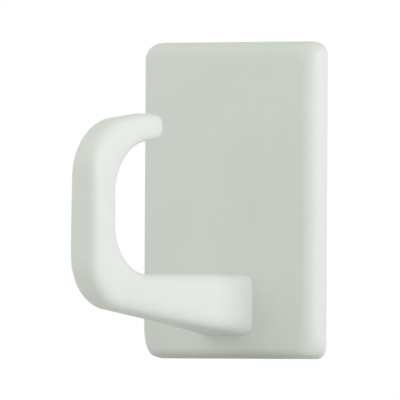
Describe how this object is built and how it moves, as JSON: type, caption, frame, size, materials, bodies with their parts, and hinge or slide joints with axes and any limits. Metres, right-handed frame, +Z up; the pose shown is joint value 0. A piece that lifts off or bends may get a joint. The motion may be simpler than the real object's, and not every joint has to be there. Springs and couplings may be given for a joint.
{
  "type": "cup hook",
  "caption": "Off-white moulded wall hook for cups: a rectangular plate with rounded edges carries a squared J-shaped arm and lifts off a screwed wall bracket.",
  "frame": {"origin": "centre of the wall bracket's back face, on the wall", "axes": "+Z up, +Y into the wall, +X to the right of someone facing the hook; the arm points along -Y"},
  "size_m": [0.0596, 0.0757, 0.08],
  "materials": {
    "plate_plastic": "satin moulded, off-white",
    "arm_plastic": "satin moulded, off-white",
    "clamp_steel": "zinc plated sheet",
    "screw_steel": "zinc plated",
    "bracket_plastic": "moulded, light grey"
  },
  "bodies": {
    "wall_side": {"wall_bracket": "bracket_plastic", "wall_screw_upper": "screw_steel", "wall_screw_lower": "screw_steel"},
    "hook_side": {"front_plate": "plate_plastic", "hook_arm": "arm_plastic", "clamp_plate": "clamp_steel", "clamp_screw_upper": "screw_steel", "clamp_screw_lower": "screw_steel"}
  },
  "joints": [
    {"name": "plate_lift", "type": "slide", "parent": "wall_side", "child": "hook_side", "axis": [0, 0, 1], "range_m": [0, 0.0144]}
  ]
}
